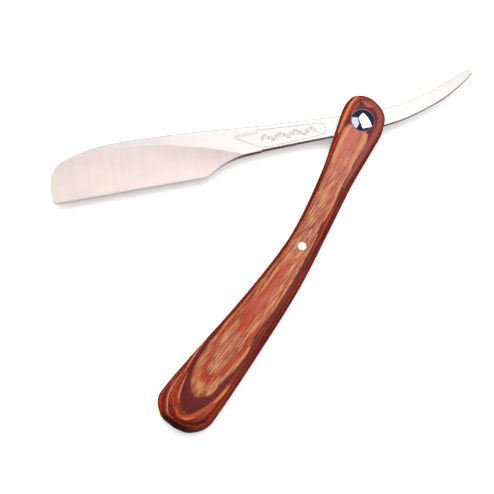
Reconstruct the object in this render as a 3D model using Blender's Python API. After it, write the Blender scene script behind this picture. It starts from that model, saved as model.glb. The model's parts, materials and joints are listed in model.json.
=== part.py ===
"""Straight razor: a one-piece steel blade that turns on a pivot between two wooden scales.

Two frames share the pivot as their origin. In the blade frame +X runs along the tang to the
tail and +Y points from the cutting edge to the spine. In the handle frame +X runs from the
pivot to the broad end and -Y is the concave side, where the closed blade goes in. Z = 0 is the
middle plane of both. All dimensions below are millimetres and degrees.
"""
import math

import bmesh
import bpy
import numpy as np
from mathutils import Vector

MM = 0.001

# Pose and stack
BLADE_ANGLE = 10.6        # direction of the blade frame's +X, seen from above
HANDLE_ANGLE = -119.15    # direction of the handle frame's +X, seen from above
HALF_GAP = 2.3            # middle plane to each scale's inner face

# Blade outline and section
TOE_X = -125.0
EDGE_Y = -10.75           # cutting edge
EDGE_START = -123.8       # toe corner of the cutting edge
EDGE_END = -64.2          # heel corner of the cutting edge
TANG_START = -48.0        # where the hollow has run out into the flat tang
TAIL_END = 46.4
SPINE = ((TOE_X, -4.5), (-123.9, 0.5), (-118.9, 5.6), (-105.5, 8.8), (-92.7, 9.3), (-67.5, 8.3),
         (-42.3, 6.4), (-16.9, 5.1), (0.0, 4.4), (14.5, 4.8), (28.0, 7.5), (42.3, 13.0),
         (TAIL_END, 13.9))
TOE_UNDERSIDE = ((TOE_X, -4.5), (-124.7, -9.0), (EDGE_START, EDGE_Y))
UNDERSIDE = ((EDGE_END, EDGE_Y), (-57.5, -7.2), (-50.8, -5.1), (-44.0, -4.4), (-28.2, -3.9),
             (-12.3, -3.5), (0.0, -3.0), (9.9, -2.3), (20.1, -0.4), (34.1, 4.7), (44.0, 10.3),
             (TAIL_END, 12.5))
GRIND_LINE = ((TOE_X, 9.4), (-112.0, 8.7), (-92.4, 7.2), (-77.9, 5.0), (-63.7, 1.3),
              (-51.5, -3.0), (-44.0, -6.5))
TANG_HALF = 1.2           # half thickness at the pivot
SPINE_HALF = 2.3          # half thickness of the blade's back
SPINE_FULL_X = -75.0      # where the back reaches that thickness
TAIL_HALF = 0.8           # half thickness at the tail's tip
FLAT_X = 12.0             # the tang keeps one thickness this far from the pivot
LIP_HALF = 0.25           # half thickness at the top of the honed bevel
EDGE_HALF = 0.06
LIP = 0.55                # height of the honed bevel, and of the chamfer on the underside
CHAMFER = 0.25
HOLLOW_POWER = 1.5        # how the hollow thickens from the bevel to the grind line
HOLLOW_ROWS = 3
TOE_ROUND_X = -105.0      # where the rounded toe ends
BODY_STEP = 7.0           # spacing of the sections between the toe and the heel
HEEL_X = (-62.0, -59.5, -57.0, -54.5, -52.0, -50.0, TANG_START, -46.0, -43.5)
TAIL_X = (-8.0, -4.0, 0.0, 4.0, 8.0, FLAT_X, 17.0, 22.0, 27.0, 32.0, 37.0, 41.0, 44.0, 45.6)
NOTCH_START = -41.0       # thumb notches under the tang
NOTCH_PITCH = 1.05
NOTCH_COUNT = 27
NOTCH_DEPTH = 0.35

# Scales
HANDLE_HEAD_X = -10.4
HANDLE_END_X = 140.5
HEAD_ROUND_X = 3.0        # where the rounded pivot end has run out
BROAD_ROUND_X = 125.0     # where the rounded broad end begins
CONCAVE_SIDE = ((HANDLE_HEAD_X, -2.6), (-8.0, -7.7), (-3.7, -9.2), (3.3, -8.5), (13.8, -6.4),
                (27.6, -3.9), (49.2, -2.2), (64.5, -3.0), (88.5, -6.8), (112.7, -11.8),
                (128.3, -14.8), (134.5, -15.0), (139.1, -11.3), (HANDLE_END_X, -5.0))
BACK_SIDE = ((HANDLE_HEAD_X, -2.6), (-9.4, 2.1), (-5.8, 6.7), (1.3, 8.7), (24.2, 8.3),
             (45.9, 9.4), (71.0, 10.3), (100.3, 9.0), (126.0, 7.2), (134.6, 5.7),
             (139.5, 0.7), (HANDLE_END_X, -5.0))
CROWN_PIVOT = 4.4         # middle plane to the crown of a scale at the pivot
CROWN_BROAD = 5.6         # the same at the broad end, before the flat land is taken off
LAND = 5.4                # middle plane to the flat land on the broad end
BROAD_X = 95.0            # where the crown reaches its full height
WALL_PIVOT = 3.2          # middle plane to the top of the side wall at the pivot
WALL_BROAD = 3.7          # the same at the broad end
DOME_POWER = 2.5
DOME_TURNS = (-1.0, -0.96, -0.85, -0.65, -0.4, 0.0, 0.4, 0.65, 0.85, 0.96, 1.0)
END_ROUND = 9.0           # length over which the crown falls to either end
INNER_CHAMFER = 0.3
STEP = 5.0                # spacing of the sections along the handle

# Wedge between the scales at the broad end
WEDGE_START = 128.6       # just outside the circle that the toe sweeps
WEDGE_END = 139.6
WEDGE_ROUND_X = 135.0
WEDGE_INSET = 0.35
FIT = 0.3                 # gap kept between neighbouring pieces
SMALL_FIT = 0.2

# Pivot hardware
BARREL_RADIUS = 2.0
PIVOT_HOLE = BARREL_RADIUS + FIT
HEAD_RADIUS = 4.65
SEAT_RADIUS = HEAD_RADIUS + SMALL_FIT
SEAT_Z = 4.0              # floor of the spot face under each head
HEAD_RIM = 0.3
HEAD_TOP = 5.6
BORE_TOP = 2.8            # end of the threaded bore in the barrel
THREAD_BORE = 1.3
SCREW_RADIUS = 1.0
SLOT_WIDTH = 0.9
SLOT_DEPTH = 0.6
WASHER_RADIUS = 4.5
WASHER_THICKNESS = 0.4

# Middle rivet
RIVET_X = 56.9
RIVET_Y = 3.9
RIVET_HEAD_RADIUS = 1.75
RIVET_HEAD_TOP = 5.15
RIVET_HEAD_RISE = 0.25
RIVET_HEAD_BASE = 4.1
RIVET_TUBE_RADIUS = 1.25
RIVET_TUBE_BORE = 0.85
RIVET_POST_RADIUS = 0.6
RIVET_POST_END = 3.0
RIVET_HOLE = RIVET_TUBE_RADIUS + SMALL_FIT
SPACER_RADIUS = 2.2

ROUND_STEPS = 32
HEAD_STEPS = 8            # steps from the rim to the top of a pivot head
RIVET_STEPS = 4
SHARP_ANGLE = 28.0
WELD = 0.001
THROUGH = 8.0             # reach of a cutter, past either side of the razor

COLOURS = {
    "steel": ((0.78, 0.75, 0.73), 0.32, 1.0),
    "chrome": ((0.72, 0.72, 0.75), 0.08, 1.0),
    "laminate": ((0.42, 0.10, 0.04), 0.25, 0.0),
    "wedge": ((0.05, 0.02, 0.015), 0.30, 0.0),
    "brass": ((0.75, 0.55, 0.25), 0.30, 1.0),
    "nickel": ((0.80, 0.76, 0.68), 0.25, 1.0),
}


# ---------------------------------------------------------------- curves and sections

def smooth(points, steps=24):
    """Dense Catmull-Rom curve through the points, as an array of x, y rows."""
    knots = [Vector(p) for p in points]
    knots = [2 * knots[0] - knots[1], *knots, 2 * knots[-1] - knots[-2]]
    rows = []
    for before, start, end, after in zip(knots, knots[1:], knots[2:], knots[3:]):
        for step in range(steps):
            t = step / steps
            rows.append(0.5 * (2 * start + (end - before) * t
                               + (2 * before - 5 * start + 4 * end - after) * t ** 2
                               + (3 * start - 3 * end + after - before) * t ** 3))
    rows.append(knots[-2])
    return np.array([tuple(row) for row in rows])


def height(curve, x):
    return float(np.interp(x, curve[:, 0], curve[:, 1]))


def ease(t):
    """Smooth step from 0 to 1 as t goes from 0 to 1."""
    t = min(max(t, 0.0), 1.0)
    return t * t * (3 - 2 * t)


def spread(start, end, count):
    """Evenly spaced positions from start to end, without start itself."""
    return [start + (end - start) * i / count for i in range(1, count + 1)]


def end_stations(end, inner, count):
    """Stations from a rounded end inwards, closest together at the end."""
    return [end + (inner - end) * (1 - math.cos(0.5 * math.pi * i / count))
            for i in range(1, count + 1)]


# ---------------------------------------------------------------- meshes and objects

def material(name):
    """The named material, made the first time it is asked for."""
    colour, roughness, metallic = COLOURS[name]
    made = bpy.data.materials.get(name)
    if made is None:
        made = bpy.data.materials.new(name)
        made.use_nodes = True
        shader = made.node_tree.nodes["Principled BSDF"]
        shader.inputs["Base Color"].default_value = (*colour, 1.0)
        shader.inputs["Roughness"].default_value = roughness
        shader.inputs["Metallic"].default_value = metallic
    return made


def place(name, bm, parent, look):
    """Turn a bmesh in millimetres into a named object under a parent empty."""
    bmesh.ops.recalc_face_normals(bm, faces=bm.faces)
    bmesh.ops.scale(bm, vec=(MM, MM, MM), verts=bm.verts)
    mesh = bpy.data.meshes.new(name)
    bm.to_mesh(mesh)
    bm.free()
    mesh.shade_smooth()
    mesh.set_sharp_from_angle(angle=math.radians(SHARP_ANGLE))
    mesh.materials.append(material(look))
    made = bpy.data.objects.new(name, mesh)
    made.parent = parent
    bpy.context.scene.collection.objects.link(made)
    return made


def loft(rings):
    """Closed body through rings that all have the same number of points."""
    bm = bmesh.new()
    loops = [[bm.verts.new(point) for point in ring] for ring in rings]
    for near, far in zip(loops, loops[1:]):
        for i in range(len(near)):
            j = (i + 1) % len(near)
            bm.faces.new((near[i], near[j], far[j], far[i]))
    bm.faces.new(loops[0])
    bm.faces.new(reversed(loops[-1]))
    return bm


def turned(profile, x=0.0, y=0.0):
    """Solid of revolution about a vertical axis from (radius, z) points, axis to axis or closed."""
    bm = bmesh.new()
    verts = [bm.verts.new((radius, 0.0, z)) for radius, z in profile]
    edges = [bm.edges.new(pair) for pair in zip(verts, verts[1:])]
    if profile[0][0] > 0:
        edges.append(bm.edges.new((verts[-1], verts[0])))
    bmesh.ops.spin(bm, geom=verts + edges, cent=(0, 0, 0), axis=(0, 0, 1),
                   angle=2 * math.pi, steps=ROUND_STEPS, use_duplicate=False)
    bmesh.ops.remove_doubles(bm, verts=bm.verts, dist=WELD)
    bmesh.ops.translate(bm, vec=(x, y, 0), verts=bm.verts)
    return bm


def cylinder(radius, end_a, end_b, x=0.0, y=0.0):
    low, high = sorted((end_a, end_b))
    return turned([(0, low), (radius, low), (radius, high), (0, high)], x, y)


def box(low, high):
    bm = bmesh.new()
    bmesh.ops.create_cube(bm, size=1.0)
    size = Vector(high) - Vector(low)
    middle = (Vector(high) + Vector(low)) / 2
    bmesh.ops.scale(bm, vec=size, verts=bm.verts)
    bmesh.ops.translate(bm, vec=middle, verts=bm.verts)
    return bm


def cut(target, name, bm):
    """Subtract a cutter, which stays in the file as a wire guide."""
    cutter = place(name, bm, target.parent, "steel")
    cutter.hide_render = True
    cutter.display_type = "WIRE"
    boolean = target.modifiers.new(name, "BOOLEAN")
    boolean.operation = "DIFFERENCE"
    boolean.solver = "EXACT"
    boolean.object = cutter


def empty(name, parent=None, angle=0.0):
    made = bpy.data.objects.new(name, None)
    made.parent = parent
    made.rotation_euler.z = math.radians(angle)
    bpy.context.scene.collection.objects.link(made)
    return made


# ---------------------------------------------------------------- blade

def blade_half(x):
    """Half thickness of the unground steel at x."""
    if x > FLAT_X:
        return TANG_HALF + (TAIL_HALF - TANG_HALF) * (x - FLAT_X) / (TAIL_END - FLAT_X)
    t = (-FLAT_X - x) / (-FLAT_X - SPINE_FULL_X)
    return TANG_HALF + (SPINE_HALF - TANG_HALF) * min(max(t, 0.0), 1.0)


def ground_half(x, y, grind_line):
    """Half thickness with the hollow grind, which runs from the bevel up to the grind line."""
    line = height(grind_line, x)
    if x > TANG_START or y >= line:
        return blade_half(x)
    share = max((y - EDGE_Y - LIP) / (line - EDGE_Y - LIP), 0.0)
    return LIP_HALF + (blade_half(x) - LIP_HALF) * share ** HOLLOW_POWER


def blade_stations():
    """Pairs of x positions, on the spine and on the underside, for the blade's sections."""
    toe = end_stations(TOE_X, TOE_ROUND_X, 9)
    under_toe = list(toe)
    corner = min(range(len(toe)), key=lambda i: abs(toe[i] - EDGE_START))
    under_toe[corner] = EDGE_START
    body = spread(TOE_ROUND_X, EDGE_END, round((EDGE_END - TOE_ROUND_X) / BODY_STEP))
    notches = [NOTCH_START + NOTCH_PITCH * i / 2 for i in range(2 * NOTCH_COUNT + 1)]
    rest = [*body, *HEEL_X, *notches, *TAIL_X]
    return list(zip(toe + rest, under_toe + rest))


def notch(x):
    """Depth of the thumb notches at x: a row of vees, deepest half way along each pitch."""
    turns = (x - NOTCH_START) / NOTCH_PITCH
    if turns < 0 or turns > NOTCH_COUNT:
        return 0.0
    return NOTCH_DEPTH * (1 - abs(2 * (turns % 1.0) - 1))


def blade_ring(top_x, low_x, spine, underside, grind_line):
    """Section from the spine's top_x down to the underside's low_x; they differ at the toe only.

    The rows keep a share of the height apart, so that they don't cross where the steel is low.
    """
    top = Vector((top_x, height(spine, top_x)))
    low = Vector((low_x, height(underside, low_x) + notch(low_x)))
    tall = top.y - low.y
    lip = low.y + min(LIP, 0.2 * tall)
    shoulder = top.y - min(CHAMFER, 0.1 * tall)
    ridge = min(max(height(grind_line, top_x), lip + 0.3 * tall), shoulder - 0.05 * tall)
    rows = [lip, *spread(lip, ridge, HOLLOW_ROWS + 1), shoulder]

    def along(y):
        return low.x + (top.x - low.x) * (y - low.y) / tall

    side = [(along(y), y, ground_half(along(y), y, grind_line)) for y in rows]
    foot = (low.x, low.y, max(side[0][2] - CHAMFER, EDGE_HALF))
    crest = (top.x, top.y, max(side[-1][2] - CHAMFER, EDGE_HALF))
    side = [foot, *side, crest]
    return side + [(x, y, -z) for x, y, z in reversed(side)]


def make_blade(frame):
    spine = smooth(SPINE)
    underside = np.vstack([smooth(TOE_UNDERSIDE), smooth(UNDERSIDE)])
    grind_line = smooth(GRIND_LINE)
    rings = [blade_ring(top_x, low_x, spine, underside, grind_line)
             for top_x, low_x in blade_stations()]
    blade = place("blade", loft(rings), frame, "steel")
    cut(blade, "blade_pivot_cutter", cylinder(PIVOT_HOLE, -THROUGH, THROUGH))


# ---------------------------------------------------------------- scales and wedge

def handle_stations():
    head = end_stations(HANDLE_HEAD_X, HEAD_ROUND_X, 7)
    count = round((BROAD_ROUND_X - HEAD_ROUND_X) / STEP)
    middle = spread(HEAD_ROUND_X, BROAD_ROUND_X, count)
    broad = end_stations(HANDLE_END_X, BROAD_ROUND_X, 8)
    return head + middle[:-1] + broad[::-1]


def crown_at(x):
    """Height of a scale's crown above the middle plane, before the land is taken off."""
    crown = CROWN_PIVOT + (CROWN_BROAD - CROWN_PIVOT) * ease(x / BROAD_X)
    wall = wall_at(x)
    left = min(max((HANDLE_END_X - x) / END_ROUND, 0.0), 1.0)
    from_head = min(max((x - HANDLE_HEAD_X) / END_ROUND, 0.0), 1.0)
    fall = math.sqrt(1 - (1 - left) ** DOME_POWER) * math.sqrt(1 - (1 - from_head) ** DOME_POWER)
    return wall + (crown - wall) * fall


def wall_at(x):
    return WALL_PIVOT + (WALL_BROAD - WALL_PIVOT) * ease(x / BROAD_X)


def scale_ring(x, concave, back):
    """Section of the front scale: flat inner face, short side walls and a domed outer face."""
    low = height(concave, x)
    high = height(back, x)
    wall = wall_at(x)
    crown = crown_at(x)
    middle = (low + high) / 2
    half = (high - low) / 2
    ring = [(x, low + INNER_CHAMFER, HALF_GAP), (x, low, HALF_GAP + INNER_CHAMFER)]
    for turn in DOME_TURNS:
        rise = (1 - abs(turn) ** DOME_POWER) ** 0.5
        z = wall + (crown - wall) * rise
        ring.append((x, middle + half * turn, min(z, LAND)))
    ring += [(x, high, HALF_GAP + INNER_CHAMFER), (x, high - INNER_CHAMFER, HALF_GAP)]
    return ring


def make_scale(name, frame, side):
    """One scale; side is +1 for the front scale and -1 for its mirror image behind."""
    concave = smooth(CONCAVE_SIDE)
    back = smooth(BACK_SIDE)
    rings = []
    for x in handle_stations():
        rings.append([(px, py, side * pz) for px, py, pz in scale_ring(x, concave, back)])
    scale = place(name, loft(rings), frame, "laminate")
    outside = side * THROUGH
    sink = side * (RIVET_HEAD_BASE - SMALL_FIT)
    sink_radius = RIVET_HEAD_RADIUS + SMALL_FIT
    cut(scale, name + "_pivot_cutter", cylinder(PIVOT_HOLE, -THROUGH, THROUGH))
    cut(scale, name + "_seat_cutter", cylinder(SEAT_RADIUS, side * SEAT_Z, outside))
    cut(scale, name + "_rivet_cutter", cylinder(RIVET_HOLE, -THROUGH, THROUGH, RIVET_X, RIVET_Y))
    cut(scale, name + "_sink_cutter", cylinder(sink_radius, sink, outside, RIVET_X, RIVET_Y))


def make_wedge(frame):
    """Spacer glued between the scales at the broad end, with the handle's outline."""
    concave = smooth(CONCAVE_SIDE)
    back = smooth(BACK_SIDE)
    half = HALF_GAP - FIT
    rings = []
    straight = spread(WEDGE_START, WEDGE_ROUND_X, 2)
    for x in [WEDGE_START, *straight[:-1], *end_stations(WEDGE_END, WEDGE_ROUND_X, 6)[::-1]]:
        low = height(concave, x) + WEDGE_INSET
        high = height(back, x) - WEDGE_INSET
        rings.append([(x, low, -half), (x, low, half), (x, high, half), (x, high, -half)])
    place("end_wedge", loft(rings), frame, "wedge")


# ---------------------------------------------------------------- pivot and rivet

def dome(radius, base, rim_top, top, steps):
    """Profile of a domed head from its rim to the axis, as an arc of one circle."""
    rise = top - rim_top
    sphere = (radius ** 2 + rise ** 2) / (2 * rise)
    widest = math.asin(radius / sphere)
    arc = []
    for i in range(1, steps):
        angle = widest * (1 - i / steps)
        arc.append((sphere * math.sin(angle), top - sphere * (1 - math.cos(angle))))
    return [(radius, base), (radius, rim_top), *arc, (0, top)]


def flipped(profile):
    return [(radius, -z) for radius, z in profile]


def make_pivot(frame):
    """Front head with its threaded barrel, rear screw with its slot, and the two washers."""
    base = SEAT_Z + SMALL_FIT
    head = dome(HEAD_RADIUS, base, base + HEAD_RIM, HEAD_TOP, HEAD_STEPS)
    barrel_end = -(SEAT_Z - SMALL_FIT)
    barrel = [(0, BORE_TOP), (THREAD_BORE, BORE_TOP), (THREAD_BORE, barrel_end),
              (BARREL_RADIUS, barrel_end), (BARREL_RADIUS, base)]
    place("pivot_barrel", turned(barrel + head), frame, "chrome")

    shank_top = BORE_TOP - FIT
    screw = [(0, -shank_top), (SCREW_RADIUS, -shank_top), (SCREW_RADIUS, base)]
    rear = place("pivot_screw", turned(flipped(screw + head)), frame, "chrome")
    slot_low = (-HEAD_RADIUS, -SLOT_WIDTH / 2, -THROUGH)
    slot_high = (HEAD_RADIUS, SLOT_WIDTH / 2, -HEAD_TOP + SLOT_DEPTH)
    cut(rear, "pivot_slot_cutter", box(slot_low, slot_high))

    inner = TANG_HALF + FIT
    outer = inner + WASHER_THICKNESS
    ring = [(PIVOT_HOLE, inner), (WASHER_RADIUS, inner), (WASHER_RADIUS, outer),
            (PIVOT_HOLE, outer)]
    place("front_pivot_washer", turned(ring), frame, "brass")
    place("rear_pivot_washer", turned(flipped(ring)), frame, "brass")


def make_rivet(frame):
    """Two-part rivet through the middle of the scales, and the spacer tube that it clamps."""
    rim_top = RIVET_HEAD_TOP - RIVET_HEAD_RISE
    head = dome(RIVET_HEAD_RADIUS, RIVET_HEAD_BASE, rim_top, RIVET_HEAD_TOP, RIVET_STEPS)
    post = [(0, -RIVET_POST_END), (RIVET_POST_RADIUS, -RIVET_POST_END),
            (RIVET_POST_RADIUS, RIVET_HEAD_BASE)]
    place("rivet_post", turned(post + head, RIVET_X, RIVET_Y), frame, "nickel")

    bore_end = RIVET_POST_END + FIT
    tube_end = -(RIVET_HEAD_BASE - SMALL_FIT)
    tube = [(0, bore_end), (RIVET_TUBE_BORE, bore_end), (RIVET_TUBE_BORE, tube_end),
            (RIVET_TUBE_RADIUS, tube_end), (RIVET_TUBE_RADIUS, RIVET_HEAD_BASE)]
    place("rivet_tube", turned(flipped(tube + head), RIVET_X, RIVET_Y), frame, "nickel")

    reach = HALF_GAP - SMALL_FIT
    spacer = [(RIVET_HOLE, -reach), (SPACER_RADIUS, -reach), (SPACER_RADIUS, reach),
              (RIVET_HOLE, reach)]
    place("rivet_spacer", turned(spacer, RIVET_X, RIVET_Y), frame, "brass")


# ---------------------------------------------------------------- assembly

def stand_on_origin(root):
    """Move the razor so that the middle of its box's bottom is the world origin."""
    bpy.context.view_layer.update()
    graph = bpy.context.evaluated_depsgraph_get()
    solids = [made.evaluated_get(graph) for made in bpy.data.objects
              if made.type == "MESH" and not made.hide_render]
    points = [solid.matrix_world @ vert.co for solid in solids for vert in solid.data.vertices]
    low = Vector([min(point[axis] for point in points) for axis in range(3)])
    high = Vector([max(point[axis] for point in points) for axis in range(3)])
    root.location = -Vector(((low.x + high.x) / 2, (low.y + high.y) / 2, low.z))


def main():
    for old in list(bpy.data.objects):
        bpy.data.objects.remove(old, do_unlink=True)
    root = empty("razor")
    handle = empty("handle_frame", root, HANDLE_ANGLE)
    blade = empty("blade_frame", root, BLADE_ANGLE)
    make_blade(blade)
    make_scale("front_scale", handle, 1)
    make_scale("rear_scale", handle, -1)
    make_wedge(handle)
    make_pivot(handle)
    make_rivet(handle)
    stand_on_origin(root)


main()
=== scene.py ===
"""Looks of a straight razor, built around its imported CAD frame.

The blade, the two scales, the wedge, the pivot heads and the rivet heads are made again as fine
meshes; the washers and the spacer between the scales stay as CAD nodes and get a material. Shapes
are worked out in millimetres in two flat frames that share the pivot as their origin: in the blade
frame +X runs along the tang to the tail and +Y from the edge to the spine, and in the handle frame
+X runs from the pivot to the broad end and -Y is the concave side.
"""

import json
import math

import bmesh
import bpy
import numpy as np
from mathutils import Matrix, Vector


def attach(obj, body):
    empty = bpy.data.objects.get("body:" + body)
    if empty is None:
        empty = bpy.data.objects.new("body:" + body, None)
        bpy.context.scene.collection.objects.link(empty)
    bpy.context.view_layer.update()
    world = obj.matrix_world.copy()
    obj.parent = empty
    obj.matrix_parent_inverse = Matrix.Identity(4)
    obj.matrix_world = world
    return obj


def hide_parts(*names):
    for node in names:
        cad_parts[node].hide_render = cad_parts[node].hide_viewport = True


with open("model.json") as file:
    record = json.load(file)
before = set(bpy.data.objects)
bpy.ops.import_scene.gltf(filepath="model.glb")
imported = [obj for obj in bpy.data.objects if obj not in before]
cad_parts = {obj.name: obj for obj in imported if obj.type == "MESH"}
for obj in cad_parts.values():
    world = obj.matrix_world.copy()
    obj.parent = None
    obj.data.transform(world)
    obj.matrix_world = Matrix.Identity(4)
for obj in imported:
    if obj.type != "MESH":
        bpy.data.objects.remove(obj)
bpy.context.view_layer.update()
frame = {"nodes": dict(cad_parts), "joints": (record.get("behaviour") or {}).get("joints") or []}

MM = 0.001
PIVOT = Vector(frame["joints"][0]["pos_m"])
BLADE_FRAME = Matrix.Translation(PIVOT) @ Matrix.Rotation(math.radians(10.6), 4, "Z")
HANDLE_FRAME = Matrix.Translation(PIVOT) @ Matrix.Rotation(math.radians(-119.15), 4, "Z")

# Blade
TOE_X = -125.0
EDGE_Y = -10.75
EDGE_START = -123.8
EDGE_END = -64.2
TANG_START = -48.0
TAIL_END = 47.7
TAIL_ROUND_X = 45.5
SPINE = ((TOE_X, -4.5), (-123.9, 0.5), (-118.9, 5.6), (-105.5, 8.8), (-92.7, 9.3), (-67.5, 8.3),
         (-42.3, 6.4), (-16.9, 5.1), (0, 4.4), (14.5, 4.8), (28, 7.8), (42.3, 13.3),
         (45.2, 14.5), (46.6, 14.6), (47.4, 14), (TAIL_END, 13.1))
TOE_UNDERSIDE = ((TOE_X, -4.5), (-124.7, -9), (EDGE_START, EDGE_Y))
UNDERSIDE = ((EDGE_END, EDGE_Y), (-57.5, -7.2), (-50.8, -5.1), (-44, -4.4), (-28.2, -3.9),
             (-12.3, -3.5), (0, -3), (9.9, -2.3), (20.1, -0.4), (34.1, 4.4), (44, 10.1),
             (46.4, 11.9), (47.4, 12.5), (TAIL_END, 13.1))
HEEL_LINE = 1.3  # height of the grind line at the heel's corner
GRIND_LINE = ((TOE_X, 9.4), (-112, 8.7), (-92.4, 7.2), (-77.9, 5), (-63.7, 1.3),
              (-51.5, -3), (-44, -6.5))
TANG_HALF = 1.2
SPINE_HALF = 2.3
SPINE_FULL_X = -75.0
TAIL_HALF = 0.8
FLAT_X = 12.0
LIP_HALF = 0.25
EDGE_HALF = 0.03
LIP = 0.3
CHAMFER = 0.15
SPINE_CHAMFER = 0.24
LIP_SHARE = 0.2  # where a section is low, lip, chamfer and ridge keep to these shares
CHAMFER_SHARE = 0.1
RIDGE_SHARE = 0.3
SHOULDER_SHARE = 0.05
RELIEF = 0.9  # bevel behind the underside, measured across the thickness
HOLLOW_POWER = 1.6
HOLLOW_ROWS = 20
FLAT_ROWS = 52
REAR_ROWS = 8
TOE_ROUND_X = -116.0
TOE_STATIONS = 22
BODY_STATIONS = 70
HEEL_STATIONS = 20
TAIL_STATIONS = 90
TIP_STATIONS = 14
GRIND_BLUR = 0.25  # width of the border between ground and brushed steel
BORE_GAP = 0.3  # between the barrel and the tang's hole
ENGRAVED = (-53.0, -11.5)  # the tang's stretch with the ornament and the finest sections
NOTCH_START = -41.0
NOTCH_PITCH = 1.05
NOTCH_COUNT = 27
NOTCH_DEPTH = 0.38
NOTCH_STEPS = 8
NOTCH_POWER = 0.8  # under 1 for wide round bottoms between sharp crests

# Engraving on the tang
PANEL = ((-50.6, 2.7), (-46.8, 0.6), (-43.2, -1.7), (-39.8, -2.9), (-28, -2.5), (-17, -1.9),
         (-15.2, -1.1), (-14.4, 0.4), (-14.9, 1.9), (-17, 3), (-29, 3.8), (-41.5, 4.4))
PANEL_STEPS = 8
TAG_START = -50.4
TAG_END = -41.8
TAG_PITCH = 0.85
TAG_LOW = 2.9
TAG_HIGH = 4.0
TAG_LEAN = 0.25
VINE_START = -40.5
VINE_END = -17.5
VINE_MIDDLE = 0.65
VINE_WAVE = 6.2
VINE_HEIGHT = 1.55
VINE_STEPS = 120
LEAF_FOOT = (0.25, 0.35)  # from a bend's crest to a leaf's foot, along and across the stem
LEAF_RUN = (1.125, 1.875)  # from the foot to the leaf's tip
LEAF_BULGE = 0.34
LEAF_STEPS = 12
ETCH_DEPTH = 0.03
ETCH_WIDTH = 0.12
ETCH_LEAST = 0.01  # share of the depth under which a vertex stays where it is
FRONT_Z = 0.3  # the blade's front vertices are higher than this

# Scales
HANDLE_HEAD_X = -10.1
HANDLE_END_X = 140.5
CONCAVE_SIDE = ((HANDLE_HEAD_X, -2), (-9.95, -3.6), (-8.95, -6.2), (-7.1, -8.2),
                (-4, -9.1), (0, -9), (4, -8.2), (13.8, -6.3),
                (27.6, -3.9), (49.2, -2.2), (64.5, -3), (88.5, -6.8), (112.7, -11.8),
                (128.3, -14.8), (134.5, -15), (139.1, -11.3), (HANDLE_END_X, -5))
BACK_SIDE = ((HANDLE_HEAD_X, -2), (-10, -0.4), (-8.9, 3), (-7.3, 5.5), (-4.7, 7.5),
             (-1, 8.5), (4, 8.6), (24.2, 8.3),
             (45.9, 9.4), (71, 10.3), (100.3, 9), (126, 7.2), (134.6, 5.7),
             (139.5, 0.7), (HANDLE_END_X, -5))
HALF_GAP = 2.3
CROWN_PIVOT = 4.4
CROWN_BROAD = 5.6
LAND = 5.4
BROAD_X = 95.0
WALL_PIVOT = 3.2
WALL_BROAD = 3.7
DOME_POWER = 2.5
END_ROUND = 9.0
INNER_CHAMFER = 0.3
INNER_SHARE = 0.4  # the inner chamfer's largest share of a section's half width
SECTION_ROWS = 72
SECTION_STEP = 0.5
HEAD_ROUND_X = 3.0  # where the rounded pivot end has run out
BROAD_ROUND_X = 125.0  # where the rounded broad end begins
HEAD_STATIONS = 36
BROAD_STATIONS = 44

# Wedge and hardware
WEDGE_START = 127.6
WEDGE_END = 140.1
WEDGE_ROUND_X = 134.0
WEDGE_INSET = 0.12
WEDGE_GAP = 0.02  # between the wedge and each scale
WEDGE_STATIONS = 8
WEDGE_END_STATIONS = 24
HEAD_RADIUS = 4.65
HEAD_BASE = 4.05
HEAD_RIM = 4.5
HEAD_TOP = 5.6
BARREL_RADIUS = 2.0
BARREL_END = 3.8
SEAT_Z = 4.0
SLOT_WIDTH = 0.9
SLOT_DEPTH = 0.6
RIVET_X = 56.9
RIVET_Y = 3.9
RIVET_HEAD_RADIUS = 1.75
RIVET_HEAD_BASE = 4.0
RIVET_HEAD_RIM = 5.05
RIVET_HEAD_TOP = 5.15
RIVET_SEAT_Z = 3.9
RIVET_POST_END = 3.7
RIVET_TUBE_END = 3.8
RIVET_TUBE_RADIUS = 1.25
RIM_GAP = 0.05
RIM_ROLL = 0.12  # size of the rolled rim of a head
ROLL_CORNER = 0.3  # share of the roll that is left at its middle
DOME_STEPS = 24
RIVET_DOME_STEPS = 12

# Meshes
ROUND_STEPS = 96
WELD = 0.0005  # points of a turned body that are closer than this become one
CUTTER = 8.0  # how far a cutter reaches from the middle plane
SLIVER = 0.006  # edges shorter than this, left by a cut, are closed up
SHARP = 28.0  # faces that meet at a wider angle than this show an edge
BLADE_SHARP = 24.0
SCALE_SHARP = 30.0
HEAD_SHARP = 35.0
TINY = 1e-9  # keeps divisions away from zero

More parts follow.
